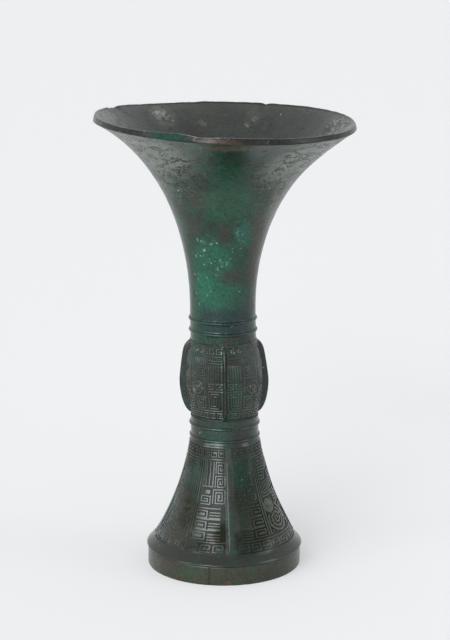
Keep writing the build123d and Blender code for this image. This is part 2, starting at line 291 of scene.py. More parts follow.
def roughen(piece, grain, height):
    """Uneven cast and corroded skin, in lumps of this grain and height."""
    lumps = bpy.data.textures.new(f"{piece.name}_skin", "CLOUDS")
    lumps.noise_scale = grain * MM
    lumps.noise_depth = 3
    skin = piece.modifiers.new("skin", "DISPLACE")
    skin.texture = lumps
    skin.texture_coords = "LOCAL"
    skin.strength = height * MM
    apply_all(piece)


def cloud(place, grain, seed=0):
    """Smooth noise, from about -1 to 1."""
    return noise.noise(Vector(place) / grain + Vector((seed, seed * 1.7, seed * 2.3)))


def clamped(value):
    """The value, kept from 0 to 1."""
    return min(max(value, 0), 1)


def read_off(value, pairs):
    """Reads a line drawn through these pairs."""
    return np.interp(value, *zip(*pairs))


# The old vessel is askew: the knop is turned on the foot, and neck and ring stand left of the foot's axis

FOOT_TURN = 1.2
KNOP_TURN = -3
TURNS = (
    (FLARE_FOOT - 0.5, 0),
    (FLARE_FOOT + 0.5, FOOT_TURN),
    (FLARE_TOP - 0.5, FOOT_TURN),
    (FLARE_TOP + 0.5, 0),
    (KNOP_BOTTOM - 0.1, 0),
    (KNOP_BOTTOM, KNOP_TURN),
    (KNOP_TOP, KNOP_TURN),
    (KNOP_TOP + 0.1, 0),
)
# a level, and how far to the right the axis stands there
LEAN = (
    (0, -0.6), (16, -0.45), (24, -0.15), (40, -0.2), (60, 0), (80, -0.2), (91, -0.3), (113, -0.6),
    (137, -1.0), (150, -1.3), (170, -1.3), (185, -1.2), (200, -0.9), (212, -0.6), (225, -0.1), (240, 0),
)


def set_askew(piece):
    """Turns and leans a piece as it stands on the old vessel."""
    places = places_of(piece)
    turn = np.radians(read_off(places[:, 2], TURNS))
    x, y = places[:, 0].copy(), places[:, 1].copy()
    places[:, 0] = x * np.cos(turn) - y * np.sin(turn) + read_off(places[:, 2], LEAN)
    places[:, 1] = x * np.sin(turn) + y * np.cos(turn)
    move_points(piece, places)


# Cast ornament, drawn as ridges on a lattice of square cells

# u counts columns and v counts rows up; a motif is given by its lower left cell, its width and its height
FOOT_COLUMNS = 56
FOOT_ROWS = 78
KNOP_COLUMNS = 46
KNOP_ROWS = 60
HEADINGS = ((1, 0), (0, 1), (-1, 0), (0, -1))
EYE_GROUND = 5.6
EYE_ROOM = 6.8
WHORL_PITCH = 3


def spiral(u, v, w, h, mirror=False, flip=False, upright=False):
    """Squared spiral line that winds inwards, with one cell between its turns."""
    if upright:
        w, h = h, w
    across, up = w - 1, h - 1
    runs = [across]
    while across > 0 and up > 0:
        runs += [up, across]
        across, up = across - 2, up - 2
    x = y = 0
    cells = {(0, 0)}
    for turn, run in enumerate(runs):
        dx, dy = HEADINGS[turn % 4]
        for _ in range(run):
            x, y = x + dx, y + dy
            cells.add((x, y))
    if upright:
        cells = {(y, x) for x, y in cells}
        w, h = h, w
    return {(u + (w - 1 - x if mirror else x), v + (h - 1 - y if flip else y)) for x, y in cells}


def block(u, v, w, h):
    """Plain block of cells."""
    return {(u + x, v + y) for x in range(w) for y in range(h)}


def bars(u, v, w, h, pitch=2):
    """Upright lines."""
    return {(u + x, v + y) for x in range(0, w, pitch) for y in range(h)}


def combs(u, v, w, h):
    """Level lines."""
    return {(u + x, v + y) for x in range(w) for y in range(0, h, 2)}


def cups(u, v, w, h):
    """Nested lines, open at the top."""
    cells = set()
    for k in range(0, (w + 1) // 2, 2):
        left, right, bottom = u + k, u + w - 1 - k, v + k
        cells |= block(left, bottom, w - 2 * k, 1)
        cells |= block(left, bottom, 1, h - k) | block(right, bottom, 1, h - k)
    return cells


def slants(u, v, w, h):
    """Stepped lines that fall outwards."""
    return {(u + x, v + y) for x in range(w) for y in range(h) if (x + y) % 4 < 2}


def whorl(u, v, reach):
    """Round spiral line about one middle, out to its reach."""
    cells = set()
    for x in range(int(u - reach), int(u + reach) + 2):
        for y in range(int(v - reach), int(v + reach) + 2):
            away = math.hypot(x - u, y - v)
            wound = away / WHORL_PITCH - math.atan2(y - v, x - u) / math.tau
            if away < reach and wound % 1 < 0.5:
                cells.add((x, y))
    return cells


def disc(u, v, reach):
    """Cells whose middles lie within reach of one place."""
    columns = range(int(u - reach), int(u + reach) + 1)
    rows = range(int(v - reach), int(v + reach) + 1)
    return {(x, y) for x in columns for y in rows if math.hypot(x + 0.5 - u, y + 0.5 - v) < reach}


def round_eye(u, v, around):
    """Clears room for an eye in what is drawn around it, and leaves the eye's own ground high."""
    return (around - disc(u, v, EYE_ROOM)) | disc(u, v, EYE_GROUND)


def without_corner_touches(ridges, columns, rows):
    """Fills cells until no two ridges meet only at a corner."""
    again = True
    while again:
        again = False
        for u in range(columns - 1):
            for v in range(rows - 1):
                a, b = (u, v) in ridges, (u + 1, v) in ridges
                c, d = (u, v + 1) in ridges, (u + 1, v + 1) in ridges
                if a == d and b == c and a != b:
                    ridges.add((u + 1, v) if a else (u, v))
                    again = True
    return ridges


def foot_ornament():
    """One quarter of the foot, out from the front or back flange."""
    ridges = block(0, 8, FOOT_COLUMNS, 1) | block(0, 69, FOOT_COLUMNS, 1)
    for u in range(4, 51, 7):
        ridges |= spiral(u, 1, 6, 6) | spiral(u, 71, 6, 6, flip=True)
    # hooked spirals beside the flange, then tall bars and a stud
    for v, w, h in ((59, 9, 9), (49, 9, 9), (37, 10, 11)):
        ridges |= spiral(3, v, w, h, mirror=True, upright=True)
    ridges |= bars(13, 49, 9, 19, pitch=3) | block(13, 49, 10, 1)
    ridges |= block(15, 44, 4, 3) | spiral(14, 36, 8, 7, mirror=True)
    # three rows of spiral and comb
    for v in (10, 18, 26):
        ridges |= block(6, v + 7, 17, 1) | spiral(15, v, 8, 6, mirror=True) | combs(6, v, 8, 6)
    ridges |= bars(24, 10, 3, 58)
    # the mask's cheek: nested lines over the eye and the great round spiral under it
    cheek = spiral(28, 60, 9, 8) | spiral(28, 51, 9, 8, flip=True) | cups(28, 38, 13, 12)
    cheek |= whorl(36, 19.5, 11) | spiral(47, 11, 7, 17)
    cheek |= spiral(42, 30, 11, 11) | spiral(42, 43, 11, 12, flip=True)
    cheek |= spiral(38, 57, 8, 11) | bars(47, 57, 7, 11)
    return without_corner_touches(ridges | round_eye(32.4, 31, cheek), FOOT_COLUMNS, FOOT_ROWS)


def knop_ornament():
    """One quarter of the knop, out from the front or back flange."""
    ridges = block(0, 8, KNOP_COLUMNS, 1) | block(0, 51, KNOP_COLUMNS, 1)
    for u in range(2, 41, 6):
        ridges |= spiral(u, 2, 5, 5) | spiral(u, 53, 5, 5, flip=True)
    # squared spirals beside the flange, large under small, then bars
    ridges |= spiral(2, 10, 11, 15, upright=True) | spiral(2, 26, 5, 5) | spiral(8, 26, 5, 5, mirror=True)
    ridges |= bars(2, 32, 11, 13) | combs(2, 46, 12, 4)
    # the mask's brow round the eye
    brow = spiral(15, 10, 9, 10, mirror=True) | spiral(26, 10, 9, 10) | bars(15, 22, 2, 12)
    brow |= spiral(15, 34, 13, 9) | bars(15, 44, 13, 6)
    brow |= spiral(30, 22, 13, 13, mirror=True, flip=True) | spiral(30, 36, 7, 14)
    brow |= bars(38, 36, 6, 14) | slants(36, 10, 8, 11)
    return without_corner_touches(ridges | round_eye(23, 26.4, brow), KNOP_COLUMNS, KNOP_ROWS)


# Carving the ornament into a wall

RELIEF_DEPTH = 0.62
MOST_WORN = 0.92
FIELD_EDGE = 0.3
WALL_REACH = 3
EYE_RADIUS = 2.3
EYE_SWELL = 0.9
EYE_GROOVE_WIDTH = 1.2
EYE_GROOVE_DEPTH = 0.5
EYE_FINE_REACH = 3.9


def lattice_of(piece, columns, rows, low, high):
    """For each face: whether it lies on the ornamented wall, and its column and row there."""
    middles, normals = faces_of(piece)
    radius = radii_of(middles)
    outward = (normals[:, :2] * middles[:, :2]).sum(axis=1) / radius > 0.3
    low, high = np.array(low), np.array(high)
    chord = high - low
    height = (np.column_stack([radius, middles[:, 2]]) - low) @ chord / (chord @ chord)
    row = np.floor(height * rows).astype(int)
    column = np.floor(np.abs(bearings_of(middles) % 180 - 90) / (90 / columns)).astype(int)
    on_wall = outward & (row >= 0) & (row < rows) & (radius > high[0] - WALL_REACH)
    return on_wall.tolist(), column.tolist(), row.tolist()


def carve(piece, columns, rows, low, high, ridges, wear, margin):
    """Sinks the ground between the cast lines, less where the surface is worn, and rounds the edges.

    A quarter of the wall has these columns and rows of cells between its low and its high end. The margin is
    the number of columns left plain beside a flange."""
    ground = []
    for on_wall, u, v in zip(*lattice_of(piece, columns, rows, low, high)):
        ground.append(on_wall and margin <= u < columns - margin and (u, v) not in ridges)
    sink_faces(piece, ground, RELIEF_DEPTH)
    mesh = piece.data
    sunk = np.zeros(len(mesh.vertices), bool)
    for face in mesh.polygons:
        if face.select:
            sunk[list(face.vertices)] = True
    places = places_of(piece)
    radius = radii_of(places)
    directions = np.empty(len(mesh.vertices) * 3)
    mesh.vertices.foreach_get("normal", directions)
    outward = (directions.reshape(-1, 3)[:, :2] * places[:, :2]).sum(axis=1) / radius > 0.2
    between = (places[:, 2] > low[1] + FIELD_EDGE) & (places[:, 2] < high[1] - FIELD_EDGE)
    field = outward & between | sunk
    worn = np.zeros(len(places))
    for i in np.nonzero(field)[0]:
        worn[i] = min(clamped(wear(places[i])), MOST_WORN)
    for name, points in (("groove", sunk), ("ridge", field & ~sunk)):
        mesh.attributes.new(name, "FLOAT", "POINT").data.foreach_set("value", points * (1 - worn))
    places[:, :2] *= np.where(sunk, 1 + RELIEF_DEPTH * worn / radius, 1)[:, None]
    move_points(piece, places)
    zone = piece.vertex_groups.new(name="relief")
    zone.add(np.nonzero(field)[0].tolist(), 1, "REPLACE")
    rounding = piece.modifiers.new("worn edges", "SMOOTH")
    rounding.factor = 0.3
    rounding.iterations = 2
    rounding.vertex_group = zone.name
    apply_all(piece)


def swell_eyes(piece, radius, level, away):
    """Raises the masks' eyes, low domes in round grooves, this many degrees away from the side flanges."""
    bearings = np.radians((away, -away, 180 - away, 180 + away))
    spots = [np.array([radius * math.cos(b), radius * math.sin(b), level]) for b in bearings]
    middles, _ = faces_of(piece)
    near = np.min([np.linalg.norm(middles - spot, axis=1) for spot in spots], axis=0)
    pick_faces(piece, near < EYE_FINE_REACH)
    bpy.ops.mesh.subdivide(number_cuts=2)
    bpy.ops.object.mode_set(mode="OBJECT")
    places = places_of(piece)
    for spot, bearing in zip(spots, bearings):
        reach = np.linalg.norm(places - spot, axis=1)
        dome = EYE_SWELL * np.sqrt(np.clip(1 - (reach / EYE_RADIUS) ** 2, 0, 1))
        across = np.clip((reach - EYE_RADIUS) / EYE_GROOVE_WIDTH, 0, 1)
        groove = EYE_GROOVE_DEPTH * np.sin(across * math.pi)
        places[:, :2] += np.outer(dome - groove, (math.cos(bearing), math.sin(bearing)))
    move_points(piece, places)


# Materials: grain sizes of the patterns that every skin has

RAGGED_GRAIN = 5
RAGGED_REACH = 11
MOTTLE_GRAIN = 1.6
SPECK_SPACING = 2.2
WRINKLE_GRAIN = 2.4
BREAK_LENGTH = 9
FLATTENED = (1, 1, 2.6)
CRACK_LEVELS = (0.44, 0.50, 0.56)
CRACK_WIDTH = 0.018
CRACK_EDGE = 0.03
SOIL = "#0d120f"
BARE_CREST = "#3f463b"
PIT = "#151915"


def linear(code):
    """A colour written as sRGB hex, in linear light."""
    parts = [int(code[i : i + 2], 16) / 255 for i in (1, 3, 5)]
    return [p / 12.92 if p <= 0.04045 else ((p + 0.055) / 1.055) ** 2.4 for p in parts] + [1]


def per(size):
    """Texture scale for a pattern of this size in millimetres."""
    return 1 / (size * MM)


def add(tree, kind, sockets=None, **settings):
    """Adds a node with its settings, values and links. A node given as a value links its first output."""
    node = tree.nodes.new(f"ShaderNode{kind}")
    for name, value in settings.items():
        setattr(node, name, value)
    for socket, value in (sockets or {}).items():
        if isinstance(value, bpy.types.Node):
            value = value.outputs[0]
        if isinstance(value, bpy.types.NodeSocket):
            tree.links.new(value, node.inputs[socket])
        else:
            node.inputs[socket].default_value = value
    return node


def spread(tree, place, middle, reach, most=1.0):
    """How far a stain covers: fully about its middle, and not at all past its reach."""
    shift = [-m / r for m, r in zip(middle, reach)]
    scale = [per(r) for r in reach]
    inner = add(tree, "Mapping", {"Vector": place, "Location": shift, "Scale": scale})
    away = add(tree, "VectorMath", {0: inner}, operation="LENGTH")
    limits = {"Value": away.outputs["Value"], "From Min": 1.2, "From Max": 0.45, "To Max": most}
    return add(tree, "MapRange", limits, interpolation_type="SMOOTHSTEP")


def gathered(tree, place, spots):
    """How strongly something gathers about these spots, each a middle and a reach."""
    total = 0.0
    for middle, reach in spots:
        total = add(tree, "Math", {0: spread(tree, place, middle, reach), 1: total}, use_clamp=True)
    return total


def clouded(tree, place, ragged, ground, layers, stains):
    """Colour of a skin: cloudy layers over its ground, then placed stains, then fine mottling."""
    colour = linear(ground)
    for code, grain, seed, begin, full, share in layers:
        texture = {"Vector": place, "Scale": per(grain), "Detail": 7, "Roughness": 0.68, "W": seed}
        clouds = add(tree, "TexNoise", texture, noise_dimensions="4D")
        limits = {"Value": clouds, "From Min": begin, "From Max": full, "To Max": share}
        cover = add(tree, "MapRange", limits, interpolation_type="SMOOTHSTEP")
        colour = add(tree, "Mix", {0: cover, 6: colour, 7: linear(code)}, data_type="RGBA").outputs[2]
    for middle, reach, code, strength in stains:
        cover = spread(tree, ragged, middle, reach, strength)
        colour = add(tree, "Mix", {0: cover, 6: colour, 7: linear(code)}, data_type="RGBA").outputs[2]
    texture = {"Vector": place, "Scale": per(MOTTLE_GRAIN), "Detail": 5, "Roughness": 0.7}
    mottle = add(tree, "TexNoise", texture)
    shade = add(tree, "MapRange", {"Value": mottle, "From Min": 0.3, "From Max": 0.7, "To Min": 0.05})
    mixed = add(tree, "Mix", {0: 0.5, 6: colour, 7: shade}, data_type="RGBA", blend_type="OVERLAY")
    return mixed.outputs[2]


def soiled(tree, colour, wander, bared):
    """Dull soil low in the grooves, and crests rubbed paler. Gives the colour and the soil's share."""
    groove = add(tree, "Attribute", attribute_name="groove")
    soil = add(tree, "Math", {0: groove.outputs["Fac"], 1: 0.5}, operation="MULTIPLY")
    patchy = add(tree, "MapRange", {"Value": wander, "From Min": 0.35, "From Max": 0.65, "To Max": 0.5})
    crest = add(tree, "Math", {0: bared, 1: patchy}, use_clamp=True)
    ridge = add(tree, "Attribute", attribute_name="ridge")
    paler = add(tree, "Math", {0: ridge.outputs["Fac"], 1: crest}, operation="MULTIPLY")
    for share, code in ((soil, SOIL), (paler, BARE_CREST)):
        colour = add(tree, "Mix", {0: share, 6: colour, 7: linear(code)}, data_type="RGBA").outputs[2]
    return colour, soil


def specks_and_pits(tree, place, speckled):
    """Pale specks and dark pits, each drawn a little larger than life so that it shows. Gives both shares."""
    grains = add(tree, "TexVoronoi", {"Vector": place, "Scale": per(SPECK_SPACING)})
    lot = add(tree, "SeparateColor", {"Color": grains.outputs["Color"]})
    odds = add(tree, "Math", {0: speckled, 1: 0.40, 2: lot}, operation="MULTIPLY_ADD")
    chosen = add(tree, "Math", {0: odds, 1: 0.985}, operation="GREATER_THAN")
    size = add(tree, "MapRange", {"Value": lot.outputs[2], "To Min": 0.16, "To Max": 0.42})
    dot = add(tree, "MapRange", {"Value": grains, "From Min": size, "From Max": 0.08})
    fleck = add(tree, "Math", {0: chosen, 1: dot}, operation="MULTIPLY")
    hole = add(tree, "MapRange", {"Value": grains, "From Min": 0.40, "From Max": 0.20})
    holed = add(tree, "Math", {0: lot.outputs[1], 1: 0.88}, operation="GREATER_THAN")
    pit = add(tree, "Math", {0: hole, 1: holed}, operation="MULTIPLY")
    return fleck, pit


def crack_lines(tree, flat, cracked, fold, lifted):
    """Level cracks, winding and broken, and the lifted edge beside each. Gives the shares of both.

    They are drawn about half a millimetre wide, coarser than life, so that they show."""
    folds = add(tree, "TexNoise", {"Vector": flat, "Scale": per(fold), "Detail": 3, "Roughness": 0.55})
    breaks = add(tree, "TexNoise", {"Vector": flat, "Scale": per(BREAK_LENGTH), "Detail": 2})
    broken = add(tree, "MapRange", {"Value": breaks, "From Min": 0.43, "From Max": 0.50})
    torn = add(tree, "Math", {0: broken, 1: cracked}, operation="MULTIPLY")
    lines = []
    for beside, strength in ((0.0, 1.0), (CRACK_EDGE, lifted)):
        drawn = 0.0
        for level in CRACK_LEVELS:
            line = add(tree, "Math", {0: folds, 1: level + beside, 2: CRACK_WIDTH}, operation="COMPARE")
            drawn = add(tree, "Math", {0: line, 1: drawn}, operation="MAXIMUM")
        faded = add(tree, "Math", {0: drawn, 1: strength}, operation="MULTIPLY")
        lines.append(add(tree, "Math", {0: faded, 1: torn}, operation="MULTIPLY"))
    return lines


def patina(
    name, ground, layers, crust, sheen, rough, relief,
    stains=(), specks=(), cracks=(), fold=11, lifted=0.08, dull=(), rubbed=(), relieved=False,
):
    """Buried bronze: a mineral skin of cloudy layers and placed stains, with specks, pits and cracks.

    A layer is its colour, its grain in millimetres, its seed, the noise where it begins and is full, and its
    share. A stain is its middle, its reach along each axis, its colour and its strength. specks, cracks, dull
    and rubbed are middles and reaches of the places where these gather. crust is the colour of specks and
    lifted edges, sheen is how much light the wax on the skin throws back, rough the mean roughness and relief
    how strongly the fine crust stands out. fold is the size of the cracks' windings in millimetres, and
    lifted how pale their edges are. A relieved skin has soil in the grooves of its ornament."""
    material = bpy.data.materials.new(name)
    material.use_nodes = True
    tree = material.node_tree
    shader = tree.nodes["Principled BSDF"]
    place = add(tree, "TexCoord").outputs["Object"]
    texture = {"Vector": place, "Scale": per(RAGGED_GRAIN), "Detail": 7, "Roughness": 0.75}
    wander = add(tree, "TexNoise", texture)
    drift = add(tree, "VectorMath", {0: wander.outputs["Color"], 1: [-0.5] * 3}, operation="ADD")
    stretch = {0: drift, 1: [RAGGED_REACH * MM] * 3, 2: place}
    ragged = add(tree, "VectorMath", stretch, operation="MULTIPLY_ADD")
    gatherings = (specks, cracks, dull, rubbed)
    speckled, cracked, dulled, bared = [gathered(tree, ragged, spots) for spots in gatherings]

    colour = clouded(tree, place, ragged, ground, layers, stains)
    dulling = add(tree, "Math", {0: dulled, 1: 0.3}, operation="MULTIPLY")
    if relieved:
        colour, soil = soiled(tree, colour, wander, bared)
        dulling = add(tree, "Math", {0: dulling, 1: soil})
    fleck, pit = specks_and_pits(tree, ragged, speckled)
    flat = add(tree, "Mapping", {"Vector": place, "Scale": FLATTENED})
    crack, edge = crack_lines(tree, flat, cracked, fold, lifted)
    sunken = add(tree, "Math", {0: pit, 1: crack}, operation="MAXIMUM")
    for share, code in ((fleck, crust), (sunken, PIT), (edge, crust)):
        colour = add(tree, "Mix", {0: share, 6: colour, 7: linear(code)}, data_type="RGBA").outputs[2]
    tree.links.new(colour, shader.inputs["Base Color"])

    # the wax is gone from dull places and cracks
    shader.inputs["Specular IOR Level"].default_value = sheen
    if dull or cracks:
        bare = add(tree, "Math", {0: dulled, 1: crack}, operation="MAXIMUM")
        waxed = add(tree, "MapRange", {"Value": bare, "To Min": sheen, "To Max": sheen * 0.4})
        tree.links.new(waxed.outputs[0], shader.inputs["Specular IOR Level"])
    gloss = add(tree, "MapRange", {"Value": wander, "To Min": rough - 0.08, "To Max": rough + 0.10})
    crusty = add(tree, "Math", {0: gloss, 1: dulling})
    tree.links.new(crusty.outputs[0], shader.inputs["Roughness"])

    # fine wrinkled crust, rougher where it cracks, with the pits sunk into it and the specks on it
    texture = {"Vector": flat, "Scale": per(WRINKLE_GRAIN), "Detail": 4, "Roughness": 0.6}
    grit = add(tree, "TexNoise", texture)
    swell = add(tree, "Math", {0: cracked, 1: 4.0, 2: 1.0}, operation="MULTIPLY_ADD")
    wrinkle = add(tree, "Math", {0: grit, 1: swell}, operation="MULTIPLY")
    sunk = add(tree, "Math", {0: sunken, 1: -0.9, 2: wrinkle}, operation="MULTIPLY_ADD")
    height = add(tree, "Math", {0: fleck, 1: 0.5, 2: sunk}, operation="MULTIPLY_ADD")
    bump = add(tree, "Bump", {"Strength": relief, "Distance": 0.3 * MM, "Height": height})
    tree.links.new(bump.outputs[0], shader.inputs["Normal"])
    return material


# Malachite skin on the trumpet, smooth from burial and waxed: deep green clouds, brown oxide patches, pale
# sides with dark cracks, their paleness partly a dusty crust and partly a painted reflection of the light
# grazing them, and a sheen where light grazes it
NECK_GREEN = ((-7, -18, 178), (17, 14, 34), "#14523e")
NECK_BRIGHT_GREEN = ((-13, -15, 171), (6, 7, 10), "#22694f", 0.3)
NECK_DARK_GREEN = ((7, -18, 161), (9, 7, 8), "#1c3a30", 0.6)
trumpet_skin = patina(
    "malachite patina on cast bronze",
    ground="#16241c",
    layers=(
        ("#173b2c", 14, 0.0, 0.38, 0.60, 1.0),
        ("#0f1d17", 8, 4.4, 0.54, 0.66, 0.7),
        ("#2c2720", 6, 3.1, 0.56, 0.64, 0.85),
        ("#3a2a20", 3.5, 6.2, 0.64, 0.70, 0.7),
    ),
    crust="#c2ccbe", sheen=0.38, rough=0.22, relief=0.5,
    stains=(
        # pale grey film on the flare's left and right sides: a dusty crust, drawn paler as a painted
        # reflection of grazing light
        ((-44, -40, 251), (26, 32, 18), "#788078", 0.6),
        ((41, -42, 249), (25, 28, 18), "#7b8077", 0.68),
        ((0.5, -49, 240), (11, 13, 12), "#07331e", 0.8),
        ((2.7, -43, 231), (9, 11, 9), "#12382a", 0.6),
        ((-1, -35, 221), (14, 12, 14), "#1b4c35", 0.45),
        (*NECK_GREEN, 0.65),
        NECK_BRIGHT_GREEN,
        ((4, -20.4, 177), (10, 7, 6), "#2b2a28", 0.75),
        NECK_DARK_GREEN,
        ((9.4, -24.8, 202), (7, 8, 10), "#174f42", 0.7),
        ((-2.7, -26.8, 203), (4.5, 6, 10), "#2b2722", 0.8),
        ((-18, -32, 224), (8, 9, 8), "#34362e", 0.5),
        ((-19.5, -19, 207), (8, 10, 9), "#2e2d27", 0.55),
        ((17, -22, 207), (5, 10, 22), "#35322c", 0.7),
        ((16, -15, 184), (5, 9, 20), "#36322c", 0.7),
        # a brown-red stain just under the lip, drawn paler than itself as painted light where the lip
        # overhangs it
        ((-4, -69, 258), (18, 8, 3.2), "#54473b", 0.65),
        # more of that pale film towards the flare's left and right edges: crust, and painted reflection of
        # grazing light
        ((-38, -16, 234), (9, 17, 15), "#5d655c", 0.55),
        ((25, -41, 243), (13, 16, 16), "#5b635a", 0.5),
        ((33, -20, 227), (10, 18, 20), "#666a61", 0.65),
        ((27, -14, 212), (8, 13, 14), "#585a52", 0.6),
        ((0, -19, 150), (22, 12, 10), "#13262a", 0.8),
    ),
    specks=(((-10, -20, 189), (13, 9, 16)), ((-14, -14, 172), (8, 8, 14)), ((6, -26.5, 203), (6, 5, 12))),
    cracks=(
        ((50, -42, 254), (34, 38, 20)), ((33, -34, 238), (26, 32, 26)),
        ((-54, -42, 256), (34, 38, 20)), ((-38, -30, 239), (28, 34, 28)),
    ),
)
# The lip: rubbed dark oxide with lime-white and malachite crust, and cuprite red where the skin broke
lip_skin = patina(
    "dark oxide and crust on the lip",
    ground="#111410",
    layers=(
        ("#191f19", 9, 0.0, 0.45, 0.6, 1.0),
        ("#241d16", 5, 3.1, 0.55, 0.62, 0.8),
        ("#4a5149", 3, 8.0, 0.64, 0.72, 0.6),
    ),
    crust="#98a398", sheen=0.34, rough=0.24, relief=0.4,
    stains=(
        ((-36, -65, 262.5), (15, 9, 5), "#0f3a2f", 0.85),
        ((-17, -72, 266), (17, 5, 1.7), "#747d74", 0.75),
        ((-10, -74, 260.8), (19, 8, 2.6), "#3f241a", 0.8),
    ),
    dull=(((-34, -66, 263), (19, 10, 5)),),
)
# The lip's very edge, rubbed paler by hands and painted paler still as the highlight along its top
edge_skin = patina(
    "rubbed bronze and painted highlight on the lip's edge",
    ground="#3b423a",
    layers=(("#565d54", 6, 0.0, 0.45, 0.6, 0.9), ("#262a24", 4, 3.1, 0.54, 0.62, 0.9)),
    crust="#8f998f", sheen=0.5, rough=0.28, relief=0.4,
    stains=(
        ((-17, -72, 266), (17, 5, 3), "#8b938a", 0.7),
        ((-38, -64, 267), (9, 8, 4), "#1d4637", 0.7),
    ),
)
# Earth and tin oxide inside the mouth: grey brown, dull and even, with pale crust and cracks near the lip
inside_skin = patina(
    "earthy tin-oxide crust inside bronze",
    ground="#1e211e",
    layers=(
        ("#242c26", 16, 0.0, 0.42, 0.62, 1.0),
        ("#2b2620", 9, 3.1, 0.50, 0.64, 0.8),
        ("#30352f", 5, 8.0, 0.55, 0.68, 0.8),
    ),
    crust="#c0c3ba", sheen=0.5, rough=0.32, relief=0.8,
    stains=(
        ((-33, 53, 258), (10, 12, 10), "#464741", 0.6),
        ((-36.5, 57, 262), (5, 6, 3), "#5a5d57", 0.6),
        ((-35.5, 51, 258), (2.4, 5, 2), "#70736c", 0.6),
        ((-30, 54, 258.6), (3.4, 6, 2.2), "#151614", 0.7),
        ((-29.5, 54, 259), (1.8, 5, 1.1), "#70736c", 0.7),
        ((-9.4, 56, 254.5), (2, 4, 2), "#565a54", 0.5),
        ((17, 53, 253.5), (2.0, 4, 1.5), "#757a72", 0.6),
        ((22, 55.5, 257), (1.6, 4, 2.0), "#757a72", 0.6),
        ((22, 60, 259), (5, 8, 9), "#3b3e39", 0.5),
        ((-68, 14, 263.5), (9, 20, 5), "#7a7e77", 0.65),
    ),
    cracks=(((-71, 9, 264.5), (14, 30, 7)), ((64, -6, 260), (15, 28, 9)), ((-34, 54, 259.5), (8, 9, 6))),
    fold=4.5,
    lifted=0.7,
)
# The moulded ornament: black-green oxide, waxed bright, with greener and browner fields, soil in the grooves
# and a dull malachite crust beside the front flange
ornament_skin = patina(
    "black-green patina on cast ornament",
    ground="#131a15",
    layers=(
        ("#163228", 12, 0.0, 0.42, 0.60, 0.9),
        ("#241f17", 9, 3.1, 0.50, 0.62, 0.8),
        ("#293628", 3, 6.0, 0.60, 0.68, 0.6),
    ),
    crust="#7d8c80", sheen=0.5, rough=0.18, relief=0.10,
    stains=(
        ((6.5, -22, 60), (5, 12, 15), "#0b3426", 0.55),
        ((8, -30, 40), (8, 10, 14), "#161e12", 0.7),
        ((10, -36, 24), (12, 10, 10), "#141a11", 0.7),
        ((22, -25, 33), (15, 15, 26), "#2a291d", 0.6),
        ((-27, -22, 33), (14, 15, 26), "#29271d", 0.6),
        ((-4.6, -36.6, 24), (8, 7, 6), "#33251d", 0.5),
        ((0, 0, 14), (70, 70, 4.2), "#181e17", 0.75),
        ((-1, -45, 14), (16, 9, 4), "#0c1712", 0.7),
        ((2.3, -22.5, 104), (8, 9, 15), "#153f2e", 0.6),
        ((-16, -16, 103), (8, 9, 9), "#27231e", 0.5),
        ((-6, -19, 80), (10, 8, 9), "#173b31", 0.55),
    ),
    specks=(((-7, -21, 74), (6, 6, 5)), ((8, -28, 50), (6, 8, 14))),
    dull=(
        ((9, -26, 48), (8, 14, 30)), ((20, -27, 33), (8, 12, 15)), ((-3, -37, 27), (7, 9, 9)),
        ((10, -37, 22), (14, 12, 9)), ((-23, -23, 40), (8, 12, 20)), ((-22, -32, 21), (12, 9, 6)),
    ),
    rubbed=(((29, -18, 34), (14, 17, 27)),),
    relieved=True,
)
# Handled edges of the flanges: the same oxide, rubbed smoother
flange_skin = patina(
    "rubbed patina on cast flanges",
    ground="#18221d",
    layers=(("#1a362e", 12, 0.0, 0.42, 0.60, 0.9), ("#27251d", 9, 3.1, 0.50, 0.62, 0.8)),
    crust="#7d8c80", sheen=0.45, rough=0.22, relief=0.10,
)
# The standing ring: brown cuprite and olive green, worn by standing
ring_skin = patina(
    "brown cuprite patina on cast ring",
    ground="#2d2e22",
    layers=(
        ("#24382b", 8, 0.0, 0.46, 0.60, 0.85),
        ("#3a2d21", 5, 3.1, 0.52, 0.62, 0.8),
        ("#43473a", 3, 6.0, 0.58, 0.68, 0.7),
    ),
    crust="#7f8778", sheen=0.4, rough=0.24, relief=0.25,
    stains=(
        ((-0.7, -45.2, 1.2), (2.6, 4, 1.6), "#4a2c21", 0.7),
        ((24, -38, 4), (9, 10, 5), "#22291f", 0.6),
        ((-22, -39, 6), (8, 10, 6), "#273a2c", 0.6),
    ),
)
# Sheet chaplets: the neck's skin, a shade flatter
chaplet_skin = patina(
    "patina on sheet-bronze chaplets",
    ground="#14221a",
    layers=(("#164231", 14, 0.0, 0.38, 0.60, 1.0), ("#2b2720", 6, 3.1, 0.56, 0.64, 0.8)),
    crust="#a4b5aa", sheen=0.36, rough=0.23, relief=0.4,
    stains=((*NECK_GREEN, 0.6), NECK_BRIGHT_GREEN, NECK_DARK_GREEN),
)
# Old tin solder in the joints: dull grey under brown dirt
solder_skin = patina(
    "oxidised tin solder",
    ground="#4b4a45",
    layers=(("#55564f", 6, 0.0, 0.45, 0.6, 1.0), ("#3a342c", 4, 3.1, 0.52, 0.62, 0.8)),
    crust="#8a8a82", sheen=0.5, rough=0.5, relief=0.3,
)

CREST_ANGLE = 42


def dressed(piece, skin, node, crisp=False):
    """Finishes a piece: its material, the body it rides on, and the CAD node that it stands for.

    On a crisp piece the flat crests of the ornament keep their own shine."""
    if not piece.data.materials:
        piece.data.materials.append(skin)
    set_askew(piece)
    pick_only(piece)
    bpy.ops.object.shade_smooth()
    if crisp:
        bpy.ops.object.shade_smooth_by_angle(angle=math.radians(CREST_ANGLE))
    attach(piece, "root")
    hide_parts(node)


# Trumpet mouth

